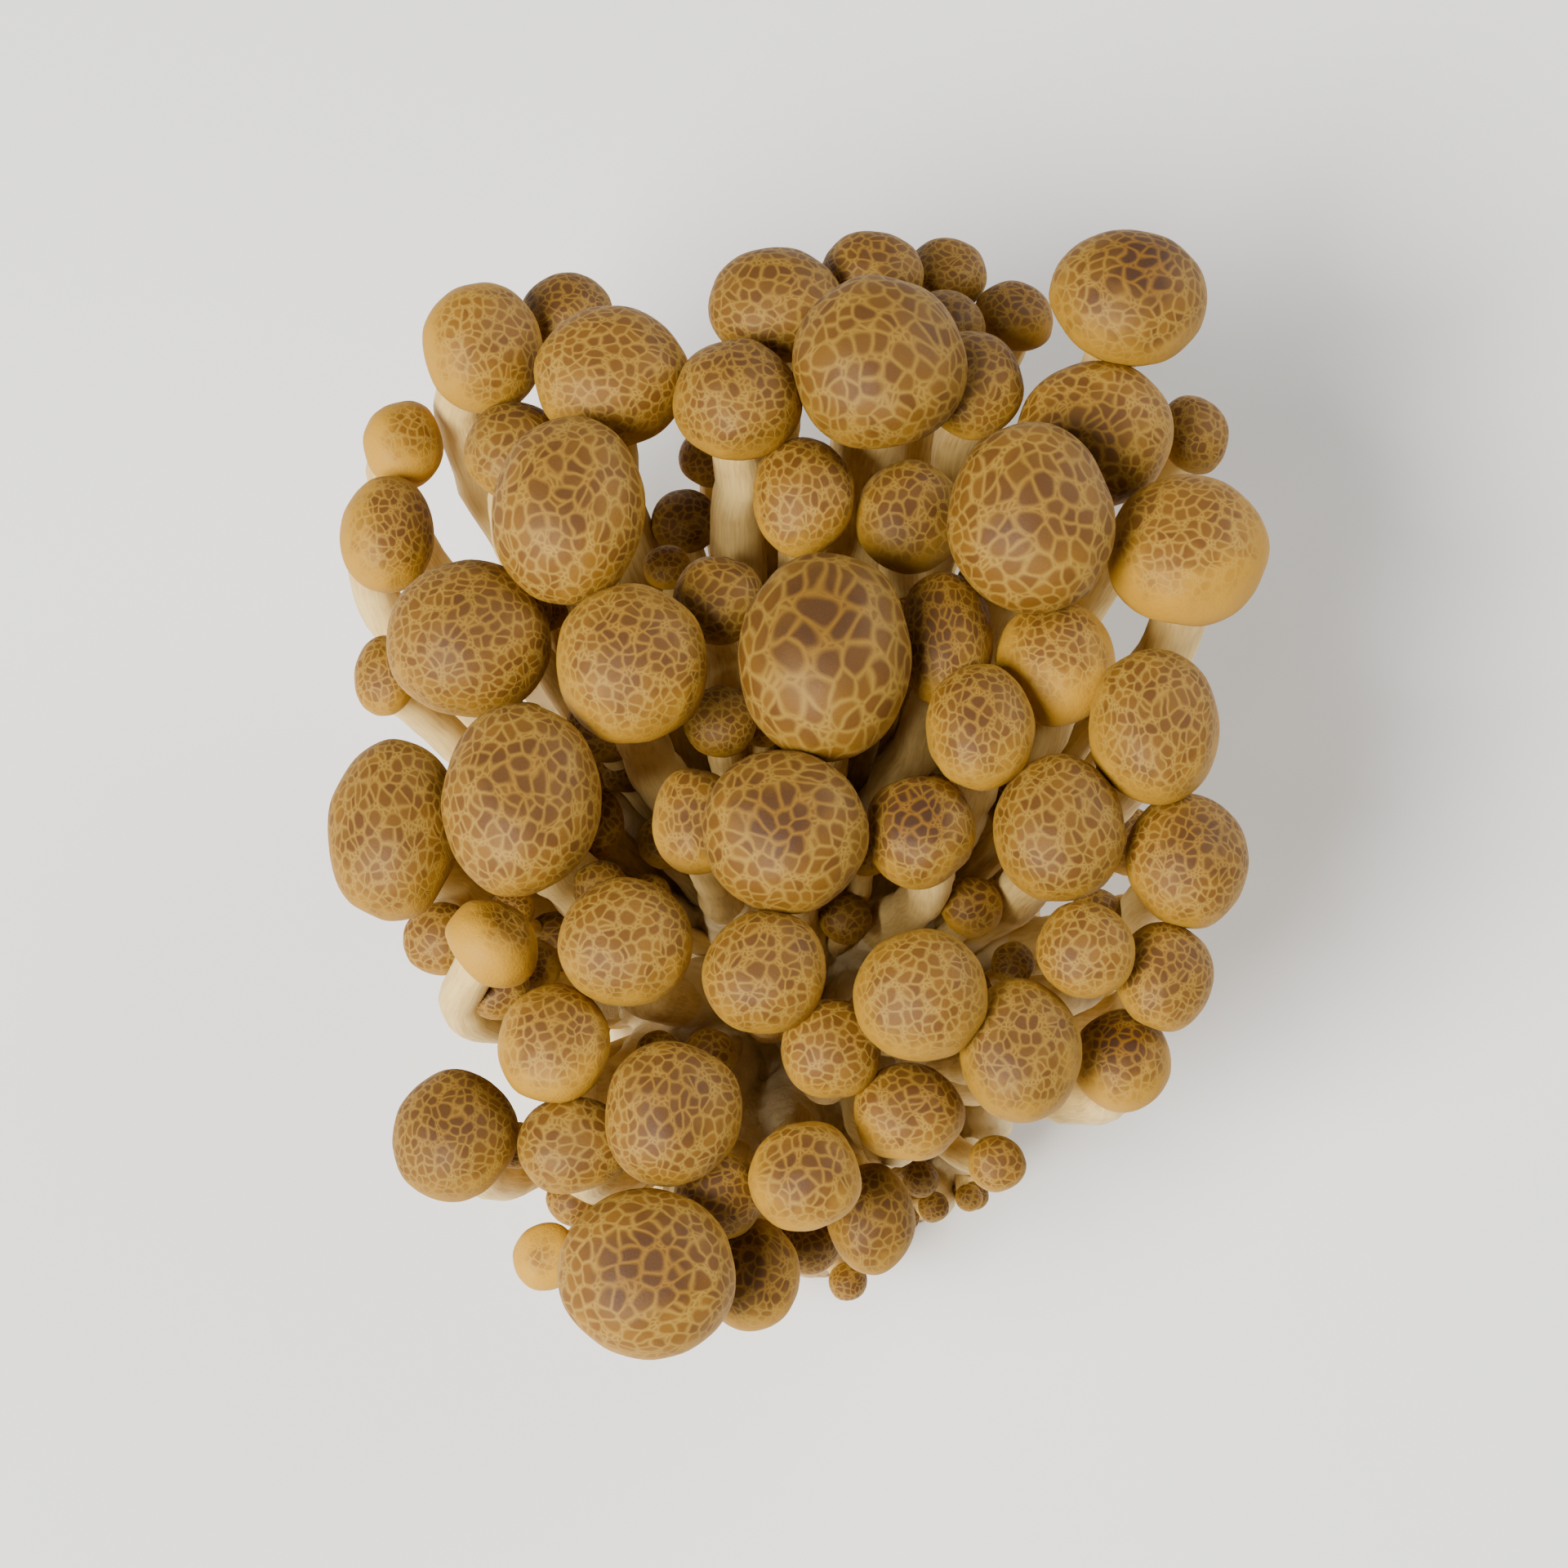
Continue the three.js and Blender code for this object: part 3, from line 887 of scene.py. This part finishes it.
def stem_flesh(tree, settings):
    """Flesh of a stem: matte ivory, drawn out in faint lengthwise fibres, a little tan with age."""
    place = attribute(tree, "stem_place", "Vector")
    drawn = add_node(
        tree, "ShaderNodeMapping", {"Vector": place, "Scale": (1.0, 1.0, 0.09)}
    ).outputs["Vector"]
    fibres = cloud(tree, drawn, 3.2, 5.0, roughness=0.6)
    stain = maths(tree, "MULTIPLY", fibres, cloud(tree, place, 0.22, 3.0))
    amount = remap(tree, stain, (0.18, 0.42), (0.0, 0.8))
    finish_surface(
        tree,
        blend(tree, amount, settings.stem_colour, settings.stem_stain_colour),
        remap(tree, fibres, (0.0, 1.0), (0.5, 0.75)),
        Normal=raise_grain(tree, fibres, 0.5, 0.12 * MM),
        Subsurface_Weight=0.2,
        Subsurface_Radius=(1.0, 0.7, 0.45),
        Subsurface_Scale=1.0 * MM,
    )


def gill_flesh(tree, settings):
    """Flesh of the gills: soft matte cream, mottled with tan."""
    coords = add_node(tree, "ShaderNodeTexCoord").outputs["Object"]
    mottle = cloud(tree, coords, 0.7 / MM, 3.0)
    colour = blend(tree, mottle, settings.gill_colour, settings.stem_stain_colour)
    finish_surface(tree, colour, 0.7)


def base_felt(tree, settings):
    """Felted mycelium over firm flesh: off-white and dull, straw brown where it has dried, with
    crumbs of sawdust near the cut."""
    coords = add_node(tree, "ShaderNodeTexCoord").outputs["Object"]
    up = add_node(tree, "ShaderNodeSeparateXYZ", {0: coords}).outputs["Z"]
    near_cut = remap(tree, up, (0.0, 9 * MM), (0.3, 0.0))
    age = maths(tree, "ADD", cloud(tree, coords, 0.11 / MM, 4.0), near_cut)
    dried = ease(tree, age, (0.48, 0.8), (0.0, 0.8))
    felt = blend(tree, dried, settings.felt_colour, settings.crust_colour)
    speck = add_node(
        tree, "ShaderNodeTexVoronoi", {"Vector": coords, "Scale": 1 / (1.4 * MM)}
    ).outputs["Distance"]
    crumbs = maths(tree, "MULTIPLY", remap(tree, speck, (0.16, 0.24), (1.0, 0.0)), dried)
    finish_surface(
        tree,
        blend(tree, crumbs, felt, settings.crumb_colour),
        0.85,
        Normal=raise_grain(tree, cloud(tree, coords, 1.4 / MM, 5.0), 0.7, 0.25 * MM),
        Subsurface_Weight=0.15,
        Subsurface_Radius=(1.0, 0.7, 0.45),
        Subsurface_Scale=1.0 * MM,
    )


def plain_floor(tree, settings):
    """Painted board: even, pale and matte, so that nothing shows but the cluster's shadow."""
    finish_surface(tree, opaque(linear("e9e7e3")), 0.8, IOR=1.5)


FINISHES = {
    "Cap skin": cap_skin,
    "Stem flesh": stem_flesh,
    "Gill flesh": gill_flesh,
    "Base felt": base_felt,
    "Pale board": plain_floor,
}


# ------------------------------------------------------------------ operators


class MUSHROOM_OT_base(bpy.types.Operator):
    """Grow the base where all the stems run together"""

    bl_idname = "mushroom.base"
    bl_label = "Grow base"

    def execute(self, context):
        grow_base([read_mushroom(name) for name in MUSHROOM_NODES])
        return {"FINISHED"}


class MUSHROOM_OT_pins(bpy.types.Operator):
    """Grow the baby mushrooms that sit on the base"""

    bl_idname = "mushroom.pins"
    bl_label = "Grow pins"

    def execute(self, context):
        grow_pins(bpy.data.objects["base_lump"])
        return {"FINISHED"}


class MUSHROOM_OT_mushrooms(bpy.types.Operator):
    """Grow every mushroom over its solid: the stem with its gills, and the cap"""

    bl_idname = "mushroom.mushrooms"
    bl_label = "Grow mushrooms"

    def execute(self, context):
        for name in MUSHROOM_NODES:
            mushroom = read_mushroom(name)
            grow_stems(f"stem_{mushroom.number:02d}", [mushroom])
            grow_caps(f"cap_{mushroom.number:02d}", [mushroom], (name,))
        return {"FINISHED"}


class MUSHROOM_OT_small_mushrooms(bpy.types.Operator):
    """Grow the small mushrooms that hide between the others"""

    bl_idname = "mushroom.small_mushrooms"
    bl_label = "Grow small mushrooms"

    def execute(self, context):
        grown = crowd([read_mushroom(name) for name in MUSHROOM_NODES])
        grow_stems("small_stems", grown)
        grow_caps("small_caps", grown, steps=40, rings=8)
        return {"FINISHED"}


class MUSHROOM_OT_stage(bpy.types.Operator):
    """Lay the floor, hang the lights and stand the camera"""

    bl_idname = "mushroom.stage"
    bl_label = "Set the stage"

    def execute(self, context):
        set_floor()
        set_lights()
        set_camera()
        return {"FINISHED"}


def set_floor():
    """A pale board that reaches past every view."""
    bm = bmesh.new()
    bmesh.ops.create_grid(bm, x_segments=1, y_segments=1, size=FLOOR_REACH)
    mesh = bpy.data.meshes.new("floor")
    bm.to_mesh(mesh)
    bm.free()
    mesh.materials.append(material("Pale board"))
    floor = bpy.data.objects.new("floor", mesh)
    bpy.context.scene.collection.objects.link(floor)


def aim(thing, place, target):
    """Stands a lamp or camera at a place, looking at a target."""
    thing.location = place
    thing.rotation_euler = (target - place).to_track_quat("-Z", "Y").to_euler()


def set_lights():
    """Plain soft studio light: a broad key, a weaker fill behind, and a sky that is paler low
    down, so that it reaches the stems under the caps."""
    for name, place, size, power in LAMPS:
        lamp = bpy.data.lights.new(name, "AREA")
        lamp.shape = "DISK"
        lamp.size = size
        lamp.energy = power
        holder = bpy.data.objects.new(name, lamp)
        bpy.context.scene.collection.objects.link(holder)
        aim(holder, place, LIT_POINT)
    world = bpy.data.worlds.new("sky")
    world.use_nodes = True
    tree = world.node_tree
    tree.nodes.clear()
    way = add_node(tree, "ShaderNodeTexCoord").outputs["Generated"]
    up = add_node(tree, "ShaderNodeSeparateXYZ", {0: way}).outputs["Z"]
    glow = ease(tree, up, (0.05, 0.45), (1.0, 0.15))
    sky = add_node(
        tree, "ShaderNodeBackground", {"Color": opaque(linear("f4f5f7")), "Strength": glow}
    )
    add_node(tree, "ShaderNodeOutputWorld", {"Surface": sky.outputs[0]})
    bpy.context.scene.world = world


def set_camera():
    """Looks steeply down on the caps from the front."""
    camera = bpy.data.cameras.new("camera")
    camera.sensor_width = SENSOR_WIDTH
    camera.lens = SENSOR_WIDTH * CAMERA_DISTANCE / FIELD_WIDTH
    camera.clip_start = 0.01
    holder = bpy.data.objects.new("camera", camera)
    bpy.context.scene.collection.objects.link(holder)
    back = Vector((0, -math.cos(CAMERA_ELEVATION), math.sin(CAMERA_ELEVATION)))
    aim(holder, LOOK_AT + back * CAMERA_DISTANCE, LOOK_AT)
    bpy.context.scene.camera = holder


# ------------------------------------------------------------------ panel


class MUSHROOM_PT_cluster(bpy.types.Panel):
    """Lists what can be grown and what can be changed."""

    bl_label = "Mushroom cluster"
    bl_idname = "MUSHROOM_PT_cluster"
    bl_space_type = "VIEW_3D"
    bl_region_type = "UI"
    bl_category = "Mushrooms"

    def draw(self, context):
        settings = context.scene.mushroom_cluster
        for operator in OPERATORS:
            self.layout.operator(operator.bl_idname)
        for name in settings.bl_rna.properties.keys():
            if name not in ("rna_type", "name"):
                self.layout.prop(settings, name)


OPERATORS = (
    MUSHROOM_OT_stage,
    MUSHROOM_OT_base,
    MUSHROOM_OT_pins,
    MUSHROOM_OT_mushrooms,
    MUSHROOM_OT_small_mushrooms,
)
CLASSES = (MUSHROOM_PG_settings, *OPERATORS, MUSHROOM_PT_cluster)


def register():
    for cls in CLASSES:
        bpy.utils.register_class(cls)
    bpy.types.Scene.mushroom_cluster = bpy.props.PointerProperty(type=MUSHROOM_PG_settings)


def unregister():
    del bpy.types.Scene.mushroom_cluster
    for cls in reversed(CLASSES):
        bpy.utils.unregister_class(cls)


def main():
    register()
    bpy.ops.mushroom.stage()
    bpy.ops.mushroom.base()
    bpy.ops.mushroom.pins()
    bpy.ops.mushroom.mushrooms()
    bpy.ops.mushroom.small_mushrooms()


if __name__ == "__main__":
    main()
